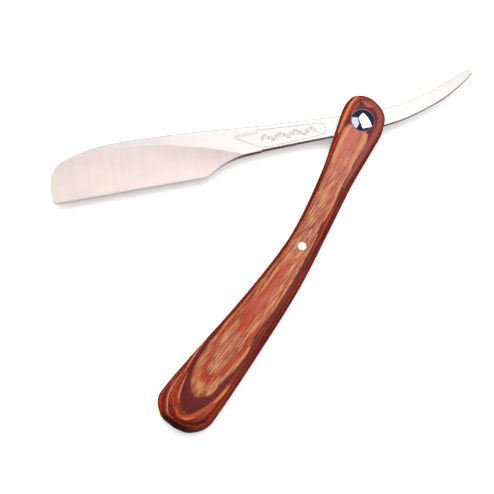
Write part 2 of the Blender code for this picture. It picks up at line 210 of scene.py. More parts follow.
# Glue lines of the laminated wood, as closed contours on a scale's outer face, from the outermost
# one in. They all run from the pivot end down the concave side, round the broad end and back.
GLUE_LINES = (
    ((-9.9, -3.2), (-9.2, -5.4), (-7.2, -7.2), (-4, -8), (0.5, -7.9), (10, -6.4), (20, -4.9),
     (45, -2.1), (60, -2.1), (80, -4.9), (100, -8.9), (115, -12), (125, -13.2), (130, -12.8),
     (134.5, -11.2), (138, -8.8), (139, -4), (138, 1), (135, 4.8), (126, 6.5), (100, 7.9), (80, 9),
     (60, 9.1), (42, 8.1), (20, 7.4), (3, 7.7), (-3.5, 6.9), (-8, 3.4), (-9.8, -0.6)),
    ((-8.6, -3.4), (-7.6, -5.6), (-4.6, -6.9), (0, -6.8), (10, -5.7), (30, -3.1), (50, -1.6),
     (70, -2.9), (88, -6.1), (105, -9.3), (115, -10.3), (123, -9.8), (130, -7.6), (134.5, -2.5),
     (131, 1.4), (122, 4.2), (110, 6.2), (90, 7.8), (65, 8.5), (40, 7.1), (15, 6.8), (2, 6.9),
     (-4, 5.4), (-8, 1.4)),
    ((3.2, -2.4), (5, -4.4), (10, -4.7), (30, -2), (50, -0.9), (70, -2.3), (88, -5.3), (100, -7.3),
     (108, -8.5), (116, -8.7), (123, -7.4), (127.5, -3.2), (125.5, 0.2), (119, 2.8), (111, 5.1),
     (105, 5.9), (100.5, 5.4), (97, 4.3), (92, 5.2), (84, 6.9), (70, 7.2), (50, 6.4), (30, 5.7),
     (12, 5.3), (5, 4.6), (3.2, 1.5)),
    ((4.5, -1.4), (10, -3.1), (30, -1.3), (50, -0.4), (70, -1.7), (88, -4.7), (100, -6.4), (108, -6.7),
     (115, -6), (120.4, -3.8), (118.8, -0.6), (113, 2.2), (104, 4.2), (98, 4), (90, 5), (75, 6.1),
     (50, 5.3), (30, 4.2), (10, 3), (4.5, 1.6)),
    ((5.4, -1), (10, -2.4), (30, -0.9), (50, 0), (70, -1.3), (88, -4.1), (100, -5.2), (108, -5.4),
     (114, -4.4), (117.3, -2.6), (113, -0.1), (104, 2.6), (97, 3.6), (90, 4.7), (75, 5.9), (50, 5.1),
     (30, 3.5), (10, 2.2), (5.4, 1.1)),
    ((63.2, 2.3), (68, 0.5), (75, -0.8), (85, -2.7), (93, -2.9), (99, -0.8), (94, 1.5), (86, 3.5),
     (76, 3.8), (67, 3.3)),
)
HEAD_CORE = ((5.2, -1.2), (8, -1.8), (13, -1.2), (19, 0.6), (13, 1.7), (7, 1.2))
# Streaks in the outer face, by dye: curves in the handle frame, each with its half width.
STREAKS = {
    "orange": (
        (((117, 6.3), (121, 5.8), (125, 4.6), (130, 2.6), (134, 0), (136.5, -2.8), (136.6, -5),
          (134.6, -7.2)), 0.75),
        (((121, -9.9), (126, -9.4), (130, -8.5), (132.5, -7.2)), 0.55),
        (((18, -2.6), (28, -1.6), (38, -0.9), (50, -0.6), (62, -0.8), (74, -1.9), (86, -4), (97, -6.2),
          (108, -8.8)), 0.45),
        (((5, -2.4), (12, -2.5), (20, -1.5), (28, -0.8)), 0.45),
    ),
    "dark": (
        (((-9.8, -4.2), (-8.2, -7), (-4.5, -8.5), (0, -8.5), (5, -7.6), (11, -6.5)), 0.45),
        (((-4.5, -5.4), (0, -5.6), (6, -4.9), (15, -4.1), (24, -2.7), (36, -1.7), (50, -1.2),
          (62, -1.3), (74, -2.5), (86, -4.6), (97, -6.8)), 0.4),
        (((-3, 7.1), (5, 7.8), (20, 7.6), (35, 7.9), (48, 8.8), (62, 9.3), (80, 9), (95, 8.2),
          (112, 6.9)), 0.5),
        (((12, -5.9), (24, -4), (40, -2.3)), 0.45),
        (((28, -1.5), (40, -0.5), (52, -0.1), (63, -0.2), (74, -1.3), (86, -3.3), (97, -5.4)), 0.45),
        (((46.5, 3.8), (50, 3.4), (54, 4.4)), 0.8),
        (((46, 1.9), (51, 1.4), (56, 0.3)), 0.4),
        (((118, -11.9), (124, -12.2), (129, -13), (133.5, -12.3), (137, -10.4)), 0.32),
        (((128, 5.6), (132.5, 4.6), (136.2, 2.4), (138.3, -1.5)), 0.8),
    ),
    # painted sheen: the mauve streaks round the pivot end stand for the lacquer's reflection of soft
    # light
    "mauve_sheen": (
        (((-7, -4), (-7.8, -1), (-7, 2.6), (-4.6, 5.4), (-1, 6.7), (6, 7), (15, 6.7), (28, 6.5)), 1.15),
        (((-6, -4.6), (-3.5, -5), (0, -5)), 0.6),
    ),
    "red": (
        (((-8.2, -5.3), (-4, -6.1), (2, -6), (9, -5.3), (18, -4.4), (28, -2.8)), 0.42),
        (((14, -0.5), (22, -0.9), (30, -0.6)), 0.5),
        (((63.5, 2.5), (67, 2.7), (71, 3.2), (75, 3.4)), 0.95),
        (((91.5, 0.2), (95, 0.3), (98.5, 0)), 1.3),
        (((30, 4.4), (36, 5), (41, 5.2), (47, 4.9)), 0.5),
        (((99, 4.8), (106, 4.1), (112, 2.7), (117, 0.6), (119.6, -1.8), (118.6, -4), (114, -5.4),
          (107, -5.6), (98, -4.8), (86, -3.2)), 0.62),
        (((50, 0.5), (57, 0.6), (64, 0.4), (72, -0.4), (82, -1.9)), 0.35),
    ),
    "pink_dye_and_highlight": (
        (((73.5, 2.4), (79, 2.2), (84, 1.7), (89, 1.1)), 1.1),
        # painted highlight: this pink spot beside the pivot head; the other pink streaks are the wood's
        # own dye
        (((-6.9, -2.8), (-6.5, -1.2), (-6.7, 0.6)), 0.7),
        (((4.5, 0.4), (8, 0.2), (12, 0.1), (17, 0.4)), 1.7),
    ),
    "pale": (
        (((-8.4, -6.3), (-5.5, -7.1), (-1, -7.1), (4, -6.6), (9, -5.9)), 0.55),
        (((4.6, -2.9), (9, -3.2), (15, -2.8), (21, -2)), 0.7),
        (((4.6, 4), (8, 4.6), (13, 4.5), (20, 4.6)), 1.15),
        (((20, 5.6), (28, 5.3), (36, 6.2), (44, 6.4)), 0.45),
        (((28, 1.9), (35, 1.5), (42, 2.4)), 0.6),
        (((59.3, 5.2), (62.5, 3.9), (66.5, 4.7), (72, 5.6)), 0.65),
        (((54, 1.5), (60, 1.8), (66, 0.8), (73, -0.3), (80, -1)), 0.6),
        (((50, 6.8), (58, 7.1), (67, 7.2), (76, 6.9), (85, 6.4)), 0.35),
        (((74, 5), (80, 5.2), (87, 4.7), (94, 3.6), (101, 2.6)), 0.6),
        (((119, 1.9), (122, 1.5), (124.8, 0.6)), 1),
        (((101, 5.7), (105, 5.5), (111, 4.6)), 0.5),
        (((121, -11.5), (127, -12.4), (131, -12.1), (134.8, -10.7), (138.4, -8.3)), 0.27),
        (((106, -10.1), (113, -11), (121, -11.1)), 0.25),
        (((124, -9.6), (128, -9), (131.5, -7.9)), 0.22),
        (((118, 6.1), (122, 5.5), (126, 4.4)), 0.35),
        (((134.5, 0.6), (136.4, -1.4), (137, -3.4)), 0.3),
    ),
}
LINE_STEPS = 10
STREAK_STEPS = 16
STREAK_END = 0.4  # width of a streak at its ends, as a share of its full width
STREAK_TAPER = 0.6
CORE_DEPTH = 4.0  # how far inside a core the layers still change
WALL_LAYERS = 1.1  # layers per millimetre down a side wall
WALL_EDGE = 0.1  # how far above the wall's top they start to be counted
WALL_DEEPEST = 5.0
END_GRAIN_AND_SHADE_LENGTH = 3.2  # where the broad end's dark end grain and painted shade start, from the end
END_GRAIN_AND_SHADE_BLUR = 3.0
END_GRAIN_AND_SHADE_RISE = 0.9  # how far above the wall's top the end grain and painted shade stay at full strength
END_GRAIN_AND_SHADE_FADE = 1.4


# ---- curves

def smooth(points, steps=24, closed=False):
    """Dense Catmull-Rom curve through the points, as an array of x, y rows."""
    knots = [Vector(p) for p in points]
    if closed:
        knots = [knots[-1], *knots, knots[0], knots[1]]
    else:
        knots = [2 * knots[0] - knots[1], *knots, 2 * knots[-1] - knots[-2]]
    rows = []
    for before, start, end, after in zip(knots, knots[1:], knots[2:], knots[3:]):
        for step in range(steps):
            t = step / steps
            rows.append(0.5 * (2 * start + (end - before) * t
                               + (2 * before - 5 * start + 4 * end - after) * t ** 2
                               + (3 * start - 3 * end + after - before) * t ** 3))
    if not closed:
        rows.append(knots[-2])
    return np.array([tuple(row) for row in rows])


def height(curve, x):
    return float(np.interp(x, curve[:, 0], curve[:, 1]))


def ease(t):
    t = np.clip(t, 0.0, 1.0)
    return t * t * (3 - 2 * t)


def spread(start, end, count):
    """Evenly spaced positions from start to end, without start itself."""
    return [start + (end - start) * i / count for i in range(1, count + 1)]


def end_stations(end, inner, count):
    """Stations from a rounded end inwards, closest together at the end."""
    return [end + (inner - end) * (1 - math.cos(0.5 * math.pi * i / count))
            for i in range(1, count + 1)]


def distance(points, line):
    """Distance from each point to a polyline; both are arrays of x, y rows."""
    nearest = np.full(len(points), np.inf)
    for start, end in zip(line, line[1:]):
        run = end - start
        share = np.clip(((points - start) @ run) / max(run @ run, TINY), 0, 1)
        nearest = np.minimum(nearest, np.hypot(*(points - start - share[:, None] * run).T))
    return nearest


def ring_distance(points, loop):
    """Distance from each point to a closed polyline."""
    return distance(points, np.vstack([loop, loop[:1]]))


def inside(points, loop):
    """Which points are inside a closed polyline, by counting crossings."""
    found = np.zeros(len(points), bool)
    x, y = points.T
    for (ax, ay), (bx, by) in zip(loop, np.roll(loop, -1, axis=0)):
        crosses = (ay > y) != (by > y)
        reach = ax + (bx - ax) * (y - ay) / ((by - ay) if by != ay else TINY)
        found ^= crosses & (x < reach)
    return found


# ---- meshes

def add_object(name, data):
    made = bpy.data.objects.new(name, data)
    bpy.context.scene.collection.objects.link(made)
    return made


def place(name, bm, where, sharp=SHARP):
    """Turn a bmesh in millimetres into an object whose mesh holds its place in the row frame."""
    bmesh.ops.recalc_face_normals(bm, faces=bm.faces)
    bm.transform(where @ Matrix.Diagonal((MM, MM, MM, 1.0)))
    mesh = bpy.data.meshes.new(name)
    bm.to_mesh(mesh)
    bm.free()
    mesh.shade_smooth()
    mesh.set_sharp_from_angle(angle=math.radians(sharp))
    return add_object(name, mesh)


def loft(rings):
    """Closed body through rings that all have the same number of points."""
    bm = bmesh.new()
    loops = [[bm.verts.new(point) for point in ring] for ring in rings]
    for near, far in zip(loops, loops[1:]):
        for i in range(len(near)):
            j = (i + 1) % len(near)
            bm.faces.new((near[i], near[j], far[j], far[i]))
    bm.faces.new(loops[0])
    bm.faces.new(reversed(loops[-1]))
    return bm


def turned(profile, x=0.0, y=0.0):
    """Solid of revolution about a vertical axis from (radius, z) points, axis to axis."""
    bm = bmesh.new()
    verts = [bm.verts.new((radius, 0.0, z)) for radius, z in profile]
    edges = [bm.edges.new(pair) for pair in zip(verts, verts[1:])]
    bmesh.ops.spin(bm, geom=verts + edges, cent=(0, 0, 0), axis=(0, 0, 1),
                   angle=2 * math.pi, steps=ROUND_STEPS, use_duplicate=False)
    bmesh.ops.remove_doubles(bm, verts=bm.verts, dist=WELD)
    bmesh.ops.translate(bm, vec=(x, y, 0), verts=bm.verts)
    return bm


def seat(hole, wider, floor, side, x=0.0, y=0.0):
    """Cutter for a hole right through a scale, with a wider seat for a head on one side."""
    profile = [(0, -CUTTER), (hole, -CUTTER), (hole, floor), (wider, floor), (wider, CUTTER),
               (0, CUTTER)]
    return turned([(radius, side * z) for radius, z in profile], x, y)


def slab(low, high):
    bm = bmesh.new()
    bmesh.ops.create_cube(bm, size=1.0)
    size = Vector(high) - Vector(low)
    bmesh.ops.scale(bm, vec=size, verts=bm.verts)
    bmesh.ops.translate(bm, vec=(Vector(high) + Vector(low)) / 2, verts=bm.verts)
    return bm


def carve(made, cutters):
    """Subtract the cutters for good, so that the mesh that is left can carry attributes."""
    for cutter in cutters:
        boolean = made.modifiers.new(cutter.name, "BOOLEAN")
        boolean.operation = "DIFFERENCE"
        boolean.solver = "EXACT"
        boolean.object = cutter
    graph = bpy.context.evaluated_depsgraph_get()
    carved = bpy.data.meshes.new_from_object(made.evaluated_get(graph))
    cleaned = bmesh.new()
    cleaned.from_mesh(carved)
    bmesh.ops.triangulate(cleaned, faces=[face for face in cleaned.faces if len(face.verts) > 4])
    bmesh.ops.remove_doubles(cleaned, verts=cleaned.verts, dist=SLIVER * MM)
    bmesh.ops.dissolve_degenerate(cleaned, edges=cleaned.edges, dist=SLIVER * MM)
    cleaned.to_mesh(carved)
    cleaned.free()
    made.modifiers.clear()
    made.data = carved
    for cutter in cutters:
        bpy.data.objects.remove(cutter)
    carved.shade_smooth()
    carved.set_sharp_from_angle(angle=math.radians(SHARP))


def places_in(made, where):
    """The vertices in millimetres in one of the two flat frames, as an array of x, y, z rows."""
    flat = np.empty(len(made.data.vertices) * 3)
    made.data.vertices.foreach_get("co", flat)
    back = np.array(where.inverted())
    return (flat.reshape(-1, 3) @ back[:3, :3].T + back[:3, 3]) / MM


def note(made, name, values):
    """Store one number for each vertex, for the material to read."""
    layer = made.data.attributes.new(name, "FLOAT", "POINT")
    layer.data.foreach_set("value", np.asarray(values, np.float32))


# ---- materials

class Tree:
    """Short names for the nodes of a material or of the world."""

    def __init__(self, tree):
        self.nodes = tree.nodes
        self.links = tree.links

    def feed(self, socket, value):
        if isinstance(value, bpy.types.NodeSocket):
            self.links.new(value, socket)
        elif socket.type == "RGBA":
            socket.default_value = (*value, 1.0)
        else:
            socket.default_value = value

    def add(self, kind, inputs, **settings):
        node = self.nodes.new(kind)
        for key, value in settings.items():
            setattr(node, key, value)
        for key, value in inputs.items():
            self.feed(node.inputs[key], value)
        return node

    def math(self, operation, a, b=0.0, c=0.0):
        return self.add("ShaderNodeMath", {0: a, 1: b, 2: c}, operation=operation).outputs[0]

    def times(self, a, b):
        return self.math("MULTIPLY", a, b)

    def span(self, value, low, high, to_low=0.0, to_high=1.0):
        """Map a number from one range to another, held at both ends."""
        inputs = {"Value": value, "From Min": low, "From Max": high,
                  "To Min": to_low, "To Max": to_high}
        return self.add("ShaderNodeMapRange", inputs).outputs["Result"]

    def mix(self, share, a, b, blend="MIX"):
        node = self.nodes.new("ShaderNodeMix")
        node.data_type = "RGBA"
        node.blend_type = blend
        self.feed(node.inputs[0], share)
        self.feed(node.inputs[6], a)
        self.feed(node.inputs[7], b)
        return node.outputs[2]

    def attribute(self, name):
        return self.add("ShaderNodeAttribute", {}, attribute_name=name).outputs["Fac"]

    def coordinates(self, where):
        """Millimetres in one of the flat frames, from the object's own coordinates."""
        origin = self.nodes.new("ShaderNodeTexCoord").outputs["Object"]
        back = where.inverted()
        inputs = {"Vector": origin, "Rotation": back.to_euler(), "Scale": (1 / MM,) * 3,
                  "Location": back.to_translation() / MM}
        return self.add("ShaderNodeMapping", inputs).outputs[0]

    def vector_math(self, operation, a, b=(0.0, 0.0, 0.0)):
        return self.add("ShaderNodeVectorMath", {0: a, 1: b}, operation=operation).outputs

    def stretched(self, vector, scale, turn=0.0):
        """The vector turned by some degrees about Z, then scaled along each axis."""
        inputs = {"Vector": vector, "Rotation": (0.0, 0.0, math.radians(turn))}
        turned_to = self.add("ShaderNodeMapping", inputs).outputs[0]
        return self.vector_math("MULTIPLY", turned_to, scale)[0]

    def x_of(self, vector):
        return self.add("ShaderNodeSeparateXYZ", {0: vector}).outputs["X"]

    def noise(self, vector, detail=2.0, roughness=0.5, scale=1.0):
        inputs = {"Vector": vector, "Scale": scale, "Detail": detail, "Roughness": roughness}
        return self.add("ShaderNodeTexNoise", inputs).outputs["Fac"]

    def ramp(self, value, stops):
        """A colour ramp with its stops as (position, colour) pairs in rising order."""
        node = self.add("ShaderNodeValToRGB", {"Fac": value})
        elements = node.color_ramp.elements
        while len(elements) < len(stops):
            elements.new(0.5)
        for element, (position, colour) in zip(elements, stops):
            element.position = position
            element.color = (*colour, 1.0)
        return node.outputs["Color"]

    def grain(self, vector, scale, detail=2.0, roughness=0.5, turn=0.0):
        """Noise with so many cells per millimetre along each axis, turned by some degrees."""
        return self.noise(self.stretched(vector, scale, turn), detail, roughness)


class Look(Tree):
    """One material with its shader."""

    def __init__(self, name, roughness, metallic=0.0, **fixed):
        self.material = bpy.data.materials.new(name)
        self.material.use_nodes = True
        super().__init__(self.material.node_tree)
        self.shader = self.nodes["Principled BSDF"]
        self.shader.inputs["Roughness"].default_value = roughness
        self.shader.inputs["Metallic"].default_value = metallic
        for socket, value in fixed.items():
            self.shader.inputs[socket.replace("_", " ")].default_value = value

    def drive(self, socket, value):
        """Link a node's output to one of the shader's own sockets."""
        self.links.new(value, self.shader.inputs[socket])

    def bump(self, height_field, depth, strength):
        inputs = {"Height": height_field, "Distance": depth * MM, "Strength": strength}
        self.drive("Normal", self.add("ShaderNodeBump", inputs).outputs["Normal"])


def tint(red, green, blue):
    """Linear colour from the usual 0 to 255 values."""
    return tuple((c / 255 / 12.92) if c <= 10 else ((c / 255 + 0.055) / 1.055) ** 2.4
                 for c in (red, green, blue))


WOOD_SHADE = 0.64  # how much darker the dyes are than they look in a bright studio
LAYER_LOW = -3.0
LAYER_HIGH = 8.0
# Colours by layer number: below 0 down the side walls, then across the outer face to its middle
LAYERS = (
    (-3.0, (70, 26, 20)), (-2.2, (104, 40, 28)), (-1.6, (150, 64, 42)),
    (-1.0, (116, 36, 26)), (-0.4, (136, 50, 36)), (0.1, (124, 42, 30)),
    (0.60, (136, 38, 24)), (0.80, (84, 18, 13)), (0.92, (160, 66, 36)),
    (1.06, (170, 78, 44)), (1.16, (106, 24, 16)), (1.46, (126, 30, 20)),
    (1.58, (168, 66, 38)), (1.70, (146, 42, 26)), (1.88, (116, 24, 18)),
    (2.08, (96, 22, 22)), (2.55, (100, 26, 28)), (2.90, (112, 36, 34)),
    (3.10, (170, 94, 58)), (3.45, (196, 126, 82)), (3.80, (188, 104, 62)),
    (3.98, (172, 54, 26)), (4.62, (164, 50, 26)), (4.88, (184, 98, 68)),
    (5.60, (186, 108, 80)), (5.90, (184, 96, 66)), (6.10, (180, 58, 32)),
    (6.60, (182, 66, 42)), (7.00, (194, 100, 84)), (8.00, (186, 90, 74)),
)
# Fine lines along the layers, between two values of a noise: from, to, strength and dye
CONTOUR_DYES = (
    (0.50, 0.58, 0.85, tint(92, 16, 10)),
    (0.46, 0.38, 0.65, tint(202, 84, 42)),
)
# How much open grain each layer shows
GRAIN_SHARES = ((2.9, 0.0), (3.2, 0.75), (3.8, 0.75), (4.0, 0.3), (4.6, 0.3), (4.9, 1.0),
                (5.8, 0.9), (6.1, 0.35))
STREAK_DYES = (
    ("orange", tint(188, 84, 42)),
    ("dark", tint(92, 22, 14)),
    ("mauve_sheen", tint(158, 82, 80)),
    ("red", tint(192, 58, 28)),
    ("pink_dye_and_highlight", tint(194, 98, 86)),
    ("pale", tint(226, 152, 98)),
)
DARK_GRAIN = tint(128, 42, 20)
PALE_GRAIN = tint(232, 166, 120)
SPECKS = tint(196, 96, 50)
WARM_PATCHES = tint(214, 150, 120)
# painted sheen: pale pinkish colour laid over the wood near the pivot end
HEAD_SHEEN_TONE = tint(246, 170, 150)
END_GRAIN_AND_SHADE_TONE = tint(30, 12, 13)
# Noise cells per millimetre along the handle, across it and through it
WAVES = (0.06, 0.45, 0.45)
RAGGED = (0.16, 2.0, 2.0)
FIBRES = (0.15, 2.9, 2.9)
DASHES = (0.18, 2.4, 2.4)
SPECKLES = (0.5, 2.2, 2.2)
PATCHES = (0.05, 0.3, 0.3)
CONTOURS_ALONG = 0.035
CONTOURS_PER_LAYER = 5.0
GRAIN_TURN = 7.0  # degrees between the grain and the handle


def layer_stops(rows):
    """Ramp stops from rows that start with a layer number."""
    return [((at - LAYER_LOW) / (LAYER_HIGH - LAYER_LOW), colour) for at, colour in rows]


def uneven_level(look, moved, ragged):
    """The mesh's layer number, with its edges made wavy and ragged."""
    wave = look.math("SUBTRACT", look.grain(moved, WAVES), 0.5)
    level = look.math("MULTIPLY_ADD", wave, 0.35, look.attribute("layer"))
    reach = look.times(ragged, look.span(level, 1.6, 2.8, 0.25, 0.60))
    return look.math("ADD", level, reach)


def dyed(look, level, ragged, along):
    """Colour of the layers, of the fine lines that follow them and of the streaks."""
    stops = layer_stops([(at, tint(*dye)) for at, dye in LAYERS])
    colour = look.ramp(look.span(level, LAYER_LOW, LAYER_HIGH), stops)
    inputs = {"X": look.times(along, CONTOURS_ALONG), "Y": look.times(level, CONTOURS_PER_LAYER)}
    contours = look.noise(look.add("ShaderNodeCombineXYZ", inputs).outputs[0], 2.0, 0.55)
    broad_end = look.times(look.span(along, 116.0, 98.0), look.span(level, 3.0, 2.85))
    where = look.math("MAXIMUM", broad_end, look.span(level, 2.05, 1.85))
    for near, far, strength, dye in CONTOUR_DYES:
        lines = look.times(look.span(contours, near, far, 0.0, strength), where)
        colour = look.mix(lines, colour, dye)
    # the mauve streaks are painted sheen, and one pink streak is a painted highlight
    for name, dye in STREAK_DYES:
        edge = look.math("MULTIPLY_ADD", ragged, 0.6, look.attribute(name))
        colour = look.mix(look.span(edge, 0.15, 0.75, 0.0, 0.85), colour, dye)
    return colour


def grained(look, colour, level, moved, along, fibre):
    """Open grain in dark and pale dashes, with specks in the outermost layers."""
    dashes = look.grain(moved, DASHES, 1.0, turn=GRAIN_TURN)
    speckle = look.grain(moved, SPECKLES, 3.0, 0.6, turn=5.0)
    stops = layer_stops([(at, (share,) * 3) for at, share in GRAIN_SHARES])
    grain = look.ramp(look.span(level, LAYER_LOW, LAYER_HIGH), stops)
    grain = look.times(grain, look.span(along, 4.0, 24.0, 0.35, 1.0))
    dark_lines = look.times(look.span(dashes, 0.48, 0.56), grain)
    colour = look.mix(look.times(dark_lines, 0.80), colour, DARK_GRAIN)
    pale_lines = look.times(look.span(fibre, 0.52, 0.59), grain)
    colour = look.mix(look.times(pale_lines, 0.75), colour, PALE_GRAIN)
    specks = look.times(look.span(speckle, 0.54, 0.68), look.span(level, 1.9, 0.2, 0.0, 0.45))
    return look.mix(specks, colour, SPECKS)


def wood_look(name, shift):
    """Lacquered wood of dyed layers, which the mesh's layer numbers cut into bands."""
    look = Look(name, 0.3, Coat_Weight=0.10, Coat_Roughness=0.12, Specular_IOR_Level=0.10)
    here = look.coordinates(HANDLE_FRAME)
    along = look.x_of(here)
    moved = look.vector_math("ADD", here, (shift, shift, 0.0))[0]
    ragged = look.grain(moved, RAGGED, 3.0, 0.6, turn=5.0)
    ragged = look.math("SUBTRACT", ragged, 0.5)
    fibre = look.grain(moved, FIBRES, 1.0, turn=GRAIN_TURN)
    level = uneven_level(look, moved, ragged)
    colour = dyed(look, level, ragged, along)
    colour = grained(look, colour, level, moved, along, fibre)
    patches = look.span(look.grain(moved, PATCHES), 0.3, 0.7, 0.0, 0.30)
    colour = look.mix(patches, colour, WARM_PATCHES, "SOFT_LIGHT")
    # painted sheen: a pale pinkish veil standing for the lacquer's reflection, laid over the inner
    # layers towards the pivot end
    head_painted_sheen = look.times(look.span(along, 80.0, 5.0, 0.0, 0.20), look.span(level, 2.9, 3.2))
    colour = look.mix(head_painted_sheen, colour, HEAD_SHEEN_TONE)
    # partly the end grain's own dark tone, partly painted shade where the broad end rounds over and
    # down its wall
    colour = look.mix(look.attribute("end_grain_and_shade"), colour, END_GRAIN_AND_SHADE_TONE)
    look.drive("Base Color", look.mix(1.0, colour, (WOOD_SHADE,) * 3, "MULTIPLY"))
    look.drive("Roughness", look.span(fibre, 0.3, 0.7, 0.24, 0.40))
    look.bump(fibre, 0.02, 0.5)
    return look.material


def steel_look():
    """Satin steel: ground across the blade below the grind line, brushed lengthwise elsewhere."""
    look = Look("ground_steel", 0.3, 1.0)
    here = look.coordinates(BLADE_FRAME)
    ground = look.attribute("ground")
    etched = look.attribute("etched")
    across = look.grain(here, (3.4, 0.05, 0.05), 4.0, 0.7, turn=1.5)
    bands = look.grain(here, (0.35, 0.02, 0.02), turn=1.5)
    along = look.grain(here, (0.05, 6.0, 6.0), 4.0, 0.65, turn=-1.0)
    haze = look.grain(here, (0.05, 0.12, 0.12))
    brushed = look.add("ShaderNodeMix", {0: ground, 2: along, 3: across}).outputs[0]

    # painted light: the same steel is greyer on the brushed flats, which the key light catches, and
    # near white in the hollow grind, which catches less of it
    flat = look.mix(look.span(along, 0.3, 0.7), tint(209, 204, 199), tint(218, 213, 208))
    hollow = look.mix(look.span(across, 0.3, 0.7), tint(249, 231, 220), tint(255, 241, 231))
    hollow = look.mix(look.span(bands, 0.35, 0.7, 0.0, 0.5), hollow, tint(240, 226, 222))
    colour = look.mix(ground, flat, hollow)
    colour = look.mix(look.span(haze, 0.35, 0.75, 0.0, 0.25), colour, tint(214, 204, 208))
    # painted shade: the steel is darkened towards the tail, where the key light falls on it fully
    tail_painted_shade = look.span(look.x_of(here), 22.0, 44.0, 0.0, 0.6)
    colour = look.mix(tail_painted_shade, colour, tint(190, 189, 187))
    colour = look.mix(look.times(etched, 0.35), colour, tint(150, 136, 134))
    look.drive("Base Color", colour)
    rough = look.span(brushed, 0.25, 0.75, 0.36, 0.46)
    rough = look.math("MULTIPLY_ADD", ground, 0.12, rough)
    look.drive("Roughness", look.math("MULTIPLY_ADD", etched, 0.2, rough))
    look.bump(brushed, 0.004, 0.5)
    return look.material


def mirror_look(name, colour, shade, roughness):
    """Polished metal with hairline scratches and a faint haze of handling."""
    look = Look(name, roughness, 1.0)
    here = look.coordinates(HANDLE_FRAME)
    scratch = look.grain(here, (0.8, 14.0, 14.0), 2.0, 0.6, turn=35.0)
    haze = look.grain(here, (0.6, 0.6, 0.6), 3.0, 0.6)
    look.drive("Base Color", look.mix(look.span(haze, 0.35, 0.7), colour, shade))
    fine = look.span(scratch, 0.55, 0.75, roughness, roughness + 0.14)
    look.drive("Roughness", look.math("MULTIPLY_ADD", haze, 0.03, fine))
    look.bump(scratch, 0.002, 0.35)
    return look.material


def brass_look(centre):
    """Turned brass, with tool marks round the axis and a little tarnish."""
    look = Look("turned_brass", 0.3, 1.0)
    here = look.coordinates(HANDLE_FRAME)
    from_axis = look.vector_math("SUBTRACT", here, centre)[0]
    flat = look.vector_math("MULTIPLY", from_axis, (1.0, 1.0, 0.0))[0]
    radius = look.vector_math("LENGTH", flat)["Value"]
    rings = look.noise(look.add("ShaderNodeCombineXYZ", {0: radius}).outputs[0], 2.0, 0.6, 9.0)
    tarnish = look.grain(here, (0.9, 0.9, 0.9), 3.0, 0.6)
    look.drive("Base Color", look.mix(look.span(tarnish, 0.4, 0.7), tint(222, 184, 112),
                                      tint(150, 108, 62)))
    look.drive("Roughness", look.span(rings, 0.3, 0.7, 0.22, 0.42))
    look.bump(rings, 0.01, 0.5)
    return look.material


def dark_wood_look():
    """The wedge: the same wood dyed nearly black, with its grain along the handle."""
    look = Look("dark_wood", 0.35, Coat_Weight=0.3, Coat_Roughness=0.15)
    here = look.coordinates(HANDLE_FRAME)
    fibre = look.grain(here, (0.3, 4.0, 4.0), 3.0, 0.6)
    look.drive("Base Color", look.mix(look.span(fibre, 0.3, 0.7), tint(26, 10, 12),
                                      tint(58, 24, 20)))
    look.drive("Roughness", look.span(fibre, 0.3, 0.7, 0.3, 0.45))
    look.bump(fibre, 0.02, 0.5)
    return look.material


# ---- blade

def blade_half(x):
    """Half thickness of the unground steel at x."""
    if x > FLAT_X:
        return TANG_HALF + (TAIL_HALF - TANG_HALF) * (x - FLAT_X) / (TAIL_END - FLAT_X)
    t = (-FLAT_X - x) / (-FLAT_X - SPINE_FULL_X)
    return TANG_HALF + (SPINE_HALF - TANG_HALF) * min(max(t, 0.0), 1.0)


def notch(x):
    """Depth of the thumb notches at x, filed with a round bottom and sharp crests."""
    turns = (x - NOTCH_START) / NOTCH_PITCH
    if turns < 0 or turns > NOTCH_COUNT:
        return 0.0
    return NOTCH_DEPTH * math.sin(math.pi * (turns % 1.0)) ** NOTCH_POWER


def ground_half(x, y, line):
    """Half thickness with the hollow grind, which runs from the bevel up to the grind line."""
    full = blade_half(x)
    if y >= line:
        return full
    tall = max(line, HEEL_LINE) - EDGE_Y - LIP
    share = max(1 - (line - y) / tall, 0.0)
    return LIP_HALF + (full - LIP_HALF) * share ** HOLLOW_POWER


def blade_rows(low, top, line, hollow_rows, flat_rows):
    """Heights of one side's rows, from the top of the honed bevel to the spine's chamfer."""
    tall = top - low
    lip = low + min(LIP, LIP_SHARE * tall)
    shoulder = top - min(SPINE_CHAMFER, CHAMFER_SHARE * tall)
    ridge = min(max(line, lip + RIDGE_SHARE * tall), shoulder - SHOULDER_SHARE * tall)
    return [lip, *spread(lip, ridge, hollow_rows), *spread(ridge, shoulder, flat_rows)]


def blade_ring(top_x, low_x, spine, underside, grind_line):
    """Section from the spine's top_x down to the underside's low_x; they differ at the toe."""
    top = Vector((top_x, height(spine, top_x)))
    low = Vector((low_x, height(underside, low_x) + notch(low_x)))
    line = height(grind_line, top_x)
    ring = []
    sides = ((1, (HOLLOW_ROWS, FLAT_ROWS), CHAMFER), (-1, (REAR_ROWS, REAR_ROWS), RELIEF))
    for side, counts, bevel in sides:
        points = []
        for y in blade_rows(low.y, top.y, line, *counts):
            x = low.x + (top.x - low.x) * (y - low.y) / (top.y - low.y)
            points.append((x, y, ground_half(x, y, height(grind_line, x))))
        points.insert(0, (low.x, low.y, max(points[0][2] - bevel, EDGE_HALF)))
        points.append((top.x, top.y, max(points[-1][2] - SPINE_CHAMFER, EDGE_HALF)))
        points = [(x, y, side * z) for x, y, z in points]
        ring += points if side > 0 else points[::-1]
    return ring


